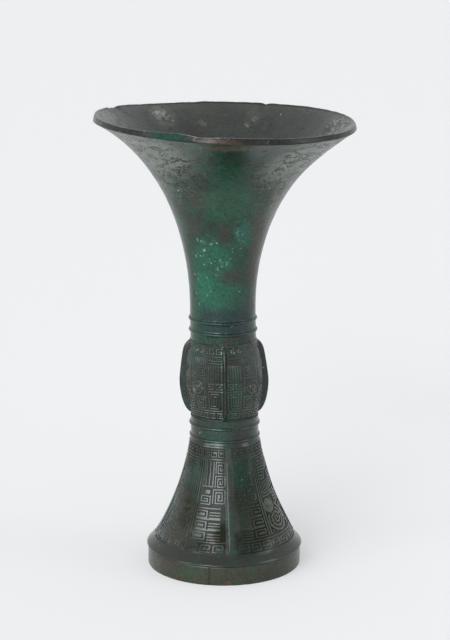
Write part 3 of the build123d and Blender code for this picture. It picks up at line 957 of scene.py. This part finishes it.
LIP_SLOPE = np.array([math.cos(math.radians(27)), math.sin(math.radians(27))])
LIP_WIDTH = 1.6
LIP_ROUNDING = 0.6
FLARE_RISE = 43.5
FLARE_REACH = 42
TRUMPET_STEPS = 256
outer_lip = np.array([MOUTH_RADIUS, LIP_FOOT])
inner_lip = np.array([MOUTH_RADIUS - LIP_WIDTH, RIM])
lip_middle = (MOUTH_RADIUS - 1.4, RIM - LIP_ROUNDING)


def flare_from(radius, lip):
    """Control points of the flare, up from the neck at this radius and out along the lip's slope."""
    return [(radius, NECK_TOP), (radius, NECK_TOP + FLARE_RISE), lip - FLARE_REACH * LIP_SLOPE]


flare_outside = bezier([*flare_from(NECK_RADIUS, outer_lip), outer_lip], 1.0)
flare_inside = bezier([*flare_from(BORE_RADIUS, inner_lip), inner_lip - 0.2], 1.7)[::-1]
trumpet = turned(
    "trumpet_mouth_skin",
    joined(
        [(BORE_RADIUS, SPIGOT_FOOT), (SPIGOT_RADIUS, SPIGOT_FOOT)],
        [(SPIGOT_RADIUS, KNOP_TOP), (NECK_RADIUS, KNOP_TOP)],
        beaded(NECK_RADIUS, KNOP_TOP + 0.1, NECK_TOP, NECK_BEADS),
        flare_outside,
        bezier([outer_lip, outer_lip + (-0.1, 1.1), outer_lip + (-0.7, 3.3)], 0.7),
        arc(lip_middle, LIP_ROUNDING, LIP_ROUNDING, 35, 115, 4),
        flare_inside,
        bezier([(BORE_RADIUS, NECK_TOP), (BORE_RADIUS, SPIGOT_FOOT + 0.5)], 2.5),
    ),
    TRUMPET_STEPS,
)

# the parts of the mouth are told apart while the form is still true
middles, normals = faces_of(trumpet)
radius, level = radii_of(middles), middles[:, 2]
facing_in = (middles[:, :2] * normals[:, :2]).sum(axis=1) < 0
inner_faces = facing_in & (level > SPIGOT_FOOT + 0.1) & (level < RIM - LIP_ROUNDING)
lip_faces = (level > LIP_FOOT) & (radius > MOUTH_RADIUS - 0.9) | (level > RIM - LIP_ROUNDING)
edge_faces = (level > RIM - 0.3) & (radius < MOUTH_RADIUS - 0.9)

BEND_FOOT = 185
BEND_HEIGHT = 75
SAG = 2.3
SAG_LEVEL = 249
SAG_HEIGHT = 15
SAG_END = 264
SAG_FADE = 7
CHIPPED_HEIGHT = 7.5
SEAM_TOP = 205
SEAM_STEP = 0.10
SEAM_WIDTH = 30
# a bearing, and how far the lip's edge stands up there
LIP_RISE = (
    (0, -1.1), (20, -0.2), (40, 0), (95, 0), (112, -0.7), (128, -0.6), (145, 0), (180, 0), (198, -0.7),
    (216, -1.1), (232, -0.7), (240, -0.1), (247, 0.2), (255, -1.2), (268, -0.4), (300, -1.1), (330, -1.6),
    (360, -1.1),
)
# chips in the lip: bearing, width in degrees and depth
CHIPS = ((148, 3, 0.9), (152, 1.2, 0.6), (66, 1.3, 0.9), (100, 2, 0.3))


def bend_of(turn):
    """The lip is bent: high at the left, low at the right."""
    tilt = 0.2 * math.sin(turn) - 2.2 * math.cos(turn)
    warp = 0.6 * math.cos(2 * turn) + 0.3 * math.sin(2 * turn)
    return 0.3 + tilt + warp


def sag_of(turn, level):
    """The flare sags under the right of the lip."""
    side = max(math.cos(turn), 0) ** 1.2
    depth = SAG * math.exp(-(((level - SAG_LEVEL) / SAG_HEIGHT) ** 2))
    return depth * side * clamped((SAG_END - level) / SAG_FADE)


def chipped(x, y, bearing):
    """The lip's edge is uneven all round, with chips at the back."""
    sink = 0.12 * cloud((x, y, 0), 7) + 0.25 * max(cloud((x, y, 9), 2.5) - 0.2, 0)
    return sink + sum(depth * math.exp(-(((bearing - at) / width) ** 2)) for at, width, depth in CHIPS)


def weathered_mouth(places):
    """Bends, sags, chips and dents the true form."""
    for p in places:
        x, y, z = p
        r, turn = math.hypot(x, y), math.atan2(y, x)
        bearing = math.degrees(turn) % 360
        up = clamped((z - BEND_FOOT) / BEND_HEIGHT)
        up = up * up * (3 - 2 * up)
        p[2] += bend_of(turn) * up * r / MOUTH_RADIUS - sag_of(turn, z)
        p[2] += read_off(bearing, LIP_RISE) * clamped((z - LIP_FOOT) / LIP_HEIGHT)
        edge = (z - RIM) / CHIPPED_HEIGHT + 1
        if edge > 0:
            p[2] -= edge * chipped(x, y, bearing)
        dent = 0.3 * cloud((x, y, z), 24, 3) * up
        # the mould seam down the front of the neck, where one side stands a hair proud
        past_seam = bearing - BEARINGS["front"]
        if z < SEAM_TOP and r > NECK_RADIUS - 0.3 and 0 < past_seam < SEAM_WIDTH:
            dent += SEAM_STEP * (1 - past_seam / SEAM_WIDTH)
        p[0] += x / r * dent
        p[1] += y / r * dent
    return places


move_points(trumpet, weathered_mouth(places_of(trumpet)))
roughen(trumpet, 2.6, 0.22)
for skin in (trumpet_skin, inside_skin, lip_skin, edge_skin):
    trumpet.data.materials.append(skin)
for index, zone in ((1, inner_faces), (2, lip_faces), (3, edge_faces)):
    pick_faces(trumpet, zone)
    trumpet.active_material_index = index
    bpy.ops.object.material_slot_assign()
    bpy.ops.object.mode_set(mode="OBJECT")
dressed(trumpet, trumpet_skin, "trumpet_mouth")


# Knop

KNOP_BORE = SOCKET_RADIUS + 0.05
KNOP_CHAMFER = 0.3
KNOP_HOLLOW = (22.1, KNOP_BOTTOM + 24)
KNOP_EYE = (23.05, KNOP_BOTTOM + 20)
KNOP_EYE_AWAY = 45


def knop_radius(level):
    """The knop swells evenly to its middle."""
    t = (level - KNOP_BOTTOM) / KNOP_HEIGHT
    return KNOP_END_RADIUS + 4 * KNOP_SWELL * t * (1 - t)


def knop_wear(p):
    """Rubbed on both cheeks, on the shoulders and in patches, crispest beside the front flange."""
    patches = 0.4 * cloud(p, 9, 5)
    cheeks = 0.55 * max(abs(p[0] + 4) / 18 - 0.35, 0)
    shoulders = 0.5 * clamped((p[2] - 115) / 9) * min(abs(p[0] + 5) / 8, 1)
    return patches + cheeks + shoulders


knop = turned(
    "knop_skin",
    joined(
        [(KNOP_BORE, KNOP_BOTTOM), (KNOP_END_RADIUS - KNOP_CHAMFER, KNOP_BOTTOM)],
        [(knop_radius(z), z) for z in np.linspace(KNOP_BOTTOM, KNOP_TOP, KNOP_ROWS + 1)],
        [(KNOP_END_RADIUS - KNOP_CHAMFER, KNOP_TOP), (KNOP_BORE, KNOP_TOP)],
        bezier([(KNOP_BORE, SPIGOT_FOOT), KNOP_HOLLOW, (KNOP_BORE, FLOOR_TOP)], 4),
    ),
    4 * KNOP_COLUMNS,
)
knop_ends = (KNOP_END_RADIUS, KNOP_BOTTOM), (KNOP_END_RADIUS, KNOP_TOP)
carve(knop, KNOP_COLUMNS, KNOP_ROWS, *knop_ends, knop_ornament(), knop_wear, 2)
swell_eyes(knop, *KNOP_EYE, KNOP_EYE_AWAY)
roughen(knop, 2.0, 0.10)
dressed(knop, ornament_skin, "knop")


# Foot

FLARE_HOLLOW = 3.0
INNER_HOLLOW = 3.4
FOOT_EYE = (29.1, FLARE_FOOT + 23)
FOOT_EYE_AWAY = 38
BROKEN_BEAD = (278, 290)
BROKEN_RADIUS = BAND_RADIUS - 0.3
flare_ends = (FLARE_FOOT_RADIUS, FLARE_FOOT), (FLARE_TOP_RADIUS, FLARE_TOP)
inner_ends = (FLARE_FOOT_RADIUS - WALL, FLARE_FOOT), (FLARE_TOP_RADIUS - WALL, FLARE_TOP)
# how far the moulding's control points lie out from the ring's upper edge, and up
MOULDING = ((0, 0.2), (1.2, 0.3), (1.5, 1.2), (-0.3, 2.1), (-2.4, 4.1))
moulding = [(RING_RADIUS + out, RING_TOP + up) for out, up in MOULDING]
band_foot = BAND_BEADS[0] - BEAD_RADIUS
band_step = [(FLARE_TOP_RADIUS - 0.3, FLARE_TOP + 1.2), (BAND_RADIUS, FLARE_TOP + 1.1)]


def foot_wear(p):
    """Rubbed nearly flat on the left cheek, crusted over right of the front flange, and in patches."""
    if p[1] > 0:
        return 0.4 * cloud(p, 11, 2)
    left = math.exp(-(((p[0] + 26) / 10) ** 4) - ((p[2] - 36) / 30) ** 4)
    right = math.exp(-(((p[0] - 8) / 7) ** 4) - ((p[2] - 50) / 26) ** 4)
    low = max(0, 1 - abs(p[2] - 20) / 5) * min(1, abs(p[0] + 8) / 14)
    return 0.35 * cloud(p, 11, 2) + 0.8 * left + 0.75 * right + 0.55 * low


foot = turned(
    "foot_skin",
    joined(
        [(RING_BORE, RING_TOP), (RING_RADIUS - 0.3, RING_TOP)],
        bezier([*moulding, flare_ends[0]], 0.6),
        hollow(*flare_ends, FLARE_HOLLOW, FOOT_ROWS),
        bezier([flare_ends[1], *band_step, (BAND_RADIUS, band_foot)], 0.6),
        beaded(BAND_RADIUS, band_foot, KNOP_BOTTOM, BAND_BEADS),
        [(SPIGOT_RADIUS, KNOP_BOTTOM), (SPIGOT_RADIUS, FLOOR_BOTTOM)],
        bezier([(BORE_RADIUS, FLOOR_BOTTOM), (BORE_RADIUS, BAND_BEADS[0])], 4),
        hollow(*inner_ends, INNER_HOLLOW, 16)[::-1],
    ),
    4 * FOOT_COLUMNS,
)
carve(foot, FOOT_COLUMNS, FOOT_ROWS, *flare_ends, foot_ornament(), foot_wear, 3)
swell_eyes(foot, *FOOT_EYE, FOOT_EYE_AWAY)

# the upper bead is broken away for a few millimetres, right of the front
places = places_of(foot)
radius, bearing = radii_of(places), bearings_of(places)
broken = (np.abs(places[:, 2] - BAND_BEADS[1]) < BEAD_RADIUS + 0.2) & (radius > BAND_RADIUS - 0.1)
broken &= (bearing > BROKEN_BEAD[0]) & (bearing < BROKEN_BEAD[1])
places[broken, :2] *= (BROKEN_RADIUS / radius[broken])[:, None]
move_points(foot, places)
roughen(foot, 2.0, 0.10)
dressed(foot, ornament_skin, "foot", crisp=True)


# Standing ring

RING_EDGE = 0.5
RING_SHOULDER = 0.6
RING_LIFT = 0.05
RING_STEPS = 320
RING_SEAM = 254.8
RING_SEAM_WIDTH = 1.12
RING_SEAM_DEPTH = 0.35
shoulder_middle = (RING_RADIUS - RING_SHOULDER, RING_TOP + RING_LIFT - RING_SHOULDER)
ring = turned(
    "foot_ring_skin",
    joined(
        [(RING_BORE, 0.4), (RING_BORE + 0.4, 0)],
        arc((RING_RADIUS - RING_EDGE, RING_EDGE), RING_EDGE, RING_EDGE, -90, 0, 3),
        bezier([(RING_RADIUS, RING_EDGE), (RING_RADIUS, shoulder_middle[1])], WALL_SPACING),
        arc(shoulder_middle, RING_SHOULDER, RING_SHOULDER, 0, 90, 3),
        [(RING_BORE, RING_TOP + RING_LIFT)],
        bezier([(RING_BORE, RING_TOP - 1.3), (RING_BORE, 1)], 2),
    ),
    RING_STEPS,
)
middles, _ = faces_of(ring)
seam = np.abs(bearings_of(middles) - RING_SEAM) < RING_SEAM_WIDTH / 2
seam &= (radii_of(middles) > RING_RADIUS - 0.3) & (middles[:, 2] < RING_TOP - 0.7)
sink_faces(ring, seam, RING_SEAM_DEPTH)
roughen(ring, 3.0, 0.18)
places = places_of(ring)
places[:, 2] = np.maximum(places[:, 2], 0)
move_points(ring, places)
dressed(ring, ring_skin, "foot_ring")


# Flanges

BLADE_COLUMNS = 5
BLADE_ROUNDING = 0.42


def blade(name, seat, crest, thickness, crest_share):
    """A flange from a grid, drawn out between its seat and its crest, thickened, and thinned to the crest."""
    rows = len(crest) - 1
    bpy.ops.object.select_all(action="DESELECT")
    bpy.ops.mesh.primitive_grid_add(x_subdivisions=BLADE_COLUMNS, y_subdivisions=rows, size=1)
    piece = named(name)
    places = places_of(piece) * MM
    for p in places:
        row = round((p[1] + 0.5) * rows)
        share = p[0] + 0.5
        (r0, z0), (r1, z1) = seat[row], crest[row]
        p[:] = r0 + (r1 - r0) * share, 0, z0 + (z1 - z0) * share
    move_points(piece, places)
    thicken(piece, thickness, 0, BLADE_ROUNDING, 3)
    places = places_of(piece)
    levels = [z for r, z in crest]
    seat_line = np.interp(places[:, 2], levels, [r for r, z in seat])
    crest_line = np.interp(places[:, 2], levels, [r for r, z in crest])
    share = np.clip((places[:, 0] - seat_line) / np.maximum(crest_line - seat_line, 0.3), 0, 1)
    places[:, 1] *= 1 - (1 - crest_share) * share
    move_points(piece, places)
    bpy.ops.object.mode_set(mode="EDIT")
    close_mesh()
    bpy.ops.object.mode_set(mode="OBJECT")
    return piece


def all_round(first, node):
    """Copies a flange made at the right to every side, each with its own mesh, and weathers each."""
    for side, bearing in BEARINGS.items():
        piece = first.copy()
        piece.data = first.data.copy()
        bpy.context.collection.objects.link(piece)
        piece.name = f"{node}_{side}_skin"
        piece.data.name = piece.name
        piece.rotation_euler.z = math.radians(bearing)
        pick_only(piece)
        bpy.ops.object.transform_apply(location=False, rotation=True, scale=False)
        roughen(piece, 4.0, 0.10)
        dressed(piece, flange_skin, f"{node}_{side}")
    bpy.data.objects.remove(first)


# the knop's flanges are oval below their widest place, and squarer above it
KNOP_FLANGE_WIDEST = KNOP_BOTTOM + 21
KNOP_FLANGE_TOP = KNOP_TOP - 0.9
KNOP_FLANGE_OVAL = (7.7, 20.4)
KNOP_FLANGE_LEAN = 3.2
KNOP_FLANGE_DROP = 2.7
oval_middle = (KNOP_FLANGE_TIP - KNOP_FLANGE_OVAL[0], KNOP_FLANGE_WIDEST)
crest = arc(oval_middle, *KNOP_FLANGE_OVAL, -86, -2, 30)
for t in np.linspace(0, 1, 31):
    fall = KNOP_FLANGE_LEAN * t**1.2 + KNOP_FLANGE_DROP * t**10
    crest.append((KNOP_FLANGE_TIP - fall, KNOP_FLANGE_WIDEST + (KNOP_FLANGE_TOP - KNOP_FLANGE_WIDEST) * t))
seat = [(min(knop_radius(z) - 0.8, r - 0.15), z) for r, z in crest]
all_round(blade("knop_flange", seat, crest, 3.2, 0.3), "knop_flange")

# the foot's flanges follow the flare, and sink into it at both ends
FOOT_FLANGE_REACH = 0.4
FOOT_FLANGE_HOLLOW = 3.05
FOOT_FLANGE_ROWS = 70
FOOT_FLANGE_SINK = 0.6
flange_ends = (
    (FLARE_FOOT_RADIUS + FOOT_FLANGE_REACH, FOOT_FLANGE_BOTTOM),
    (FLARE_TOP_RADIUS + FOOT_FLANGE_REACH, FOOT_FLANGE_TOP),
)
crest = []
for row, (r, z) in enumerate(hollow(*flange_ends, FOOT_FLANGE_HOLLOW, FOOT_FLANGE_ROWS)):
    from_end = min(row, FOOT_FLANGE_ROWS - row)
    crest.append((r - FOOT_FLANGE_SINK * math.exp(-((from_end / 10) ** 2)), z))
seat = [(r - 1.5, z - 0.2) for r, z in crest]
all_round(blade("foot_flange", seat, crest, 3.6, 0.75), "foot_flange")


# Chaplets

CHAPLET_CELLS = 8
CHAPLET_THICKNESS = 1.2
CHAPLET_PROUD = 0.07
CHAPLET_BEARING = 45
CHAPLET_ROUNDING = 0.15


def chaplets(node, radius_at):
    """Four square spacers that show as faint pads, bent to the wall they sit in."""
    low, high = level_of(node, LOWEST), level_of(node, HIGHEST)
    bpy.ops.object.select_all(action="DESELECT")
    bpy.ops.mesh.primitive_grid_add(x_subdivisions=CHAPLET_CELLS, y_subdivisions=CHAPLET_CELLS, size=1)
    pad = named(f"{node}_skin")
    places = places_of(pad) * MM
    for p in places:
        across, z = p[0] * (high - low), low + (p[1] + 0.5) * (high - low)
        r = radius_at(z) + CHAPLET_PROUD
        p[:] = math.sqrt(r * r - across * across), across, z
    move_points(pad, places)
    thicken(pad, CHAPLET_THICKNESS, -1, CHAPLET_ROUNDING, 2)
    bpy.ops.object.mode_set(mode="EDIT")
    close_mesh()
    turn = {"orient_axis": "Z", "center_override": (0, 0, 0)}
    bpy.ops.transform.rotate(value=math.radians(CHAPLET_BEARING), **turn)
    for _ in range(3):
        bpy.ops.mesh.duplicate()
        bpy.ops.transform.rotate(value=math.radians(90), **turn)
    bpy.ops.object.mode_set(mode="OBJECT")
    roughen(pad, 2.2, 0.06)
    dressed(pad, chaplet_skin, node)


neck_line = [(z, r) for r, z in flare_outside]
chaplets("neck_chaplets", lambda z: read_off(z, neck_line))
chaplets("band_chaplets", lambda z: BAND_RADIUS)


# Solids that stay as they are

stays = {"cup_floor": inside_skin, "upper_solder_ring": solder_skin, "lower_solder_ring": solder_skin}
for node, skin in stays.items():
    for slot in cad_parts[node].material_slots:
        slot.material = skin


# Floor, light and camera, in metres


def seen_straight(tree):
    """1 for what the camera, a reflection or glass shows, and 0 for light that falls on the vessel."""
    path = add(tree, "LightPath").outputs
    shown = add(tree, "Math", {0: path["Is Camera Ray"], 1: path["Is Glossy Ray"]}, operation="MAXIMUM")
    return add(tree, "Math", {0: shown, 1: path["Is Transmission Ray"]}, operation="MAXIMUM")


bpy.ops.object.select_all(action="DESELECT")
bpy.ops.mesh.primitive_plane_add(size=40)
floor = named("studio_floor")
# Seamless paper: an even pale grey to the camera and in reflections, with only the shadow shading it
paper = bpy.data.materials.new("matt pale studio paper")
paper.use_nodes = True
tree = paper.node_tree
matt = tree.nodes["Principled BSDF"]
matt.inputs["Base Color"].default_value = linear("#f4f5f6")
matt.inputs["Roughness"].default_value = 0.9
matt.inputs["Specular IOR Level"].default_value = 0.1
glow = add(tree, "Emission", {"Color": linear("#f8f9fa"), "Strength": 1.0})
share = add(tree, "Math", {0: seen_straight(tree), 1: 0.35}, operation="MULTIPLY")
mixed = add(tree, "MixShader", {0: share, 1: matt, 2: glow})
tree.links.new(mixed.outputs[0], tree.nodes["Material Output"].inputs["Surface"])
floor.data.materials.append(paper)

world = bpy.data.worlds.new("white studio")
bpy.context.scene.world = world
world.use_nodes = True
tree = world.node_tree
sky = tree.nodes["Background"]
sky.inputs["Color"].default_value = linear("#f4f6f8")
strength = add(tree, "MapRange", {"Value": seen_straight(tree), "To Min": 0.64, "To Max": 0.95})
tree.links.new(strength.outputs[0], sky.inputs["Strength"])


def set_up(name, data):
    """Puts a lamp or a camera into the scene."""
    stand = bpy.data.objects.new(name, data)
    bpy.context.collection.objects.link(stand)
    return stand


def facing(direction):
    """The turn that makes a lamp shine along this direction."""
    return Vector(direction).to_track_quat("-Z", "Y").to_euler()


softbox = bpy.data.lights.new("side_right", "AREA")
softbox.shape = "RECTANGLE"
softbox.size = 0.6
softbox.size_y = 1.0
softbox.energy = 3.2
softbox_stand = set_up("side_right", softbox)
softbox_stand.location = (1.4, -0.5, 0.7)
softbox_stand.rotation_euler = facing((-1.4, 0.5, -0.55))

# far windows: the way their light goes, how many degrees wide they look, and their strength
WINDOWS = {
    "window_front": ((0.47, 0.82, -0.33), 40, 2.25),
    "window_left": ((0.84, 0.42, -0.36), 26, 0.6),
}
for name, (direction, width, strength) in WINDOWS.items():
    pane = bpy.data.lights.new(name, "SUN")
    pane.energy = strength
    pane.angle = math.radians(width)
    set_up(name, pane).rotation_euler = facing(direction)

CAMERA_PLACE = (-0.09286, -1.17989, 0.42693)
CAMERA_DIP = 13.30
CAMERA_TURN = -4.5
lens = bpy.data.cameras.new("camera")
lens.sensor_width = 36
lens.lens = 117.48
camera = set_up("camera", lens)
camera.location = CAMERA_PLACE
camera.rotation_euler = (math.radians(90 - CAMERA_DIP), 0, math.radians(CAMERA_TURN))
bpy.context.scene.camera = camera
bpy.context.scene.view_settings.view_transform = "Standard"
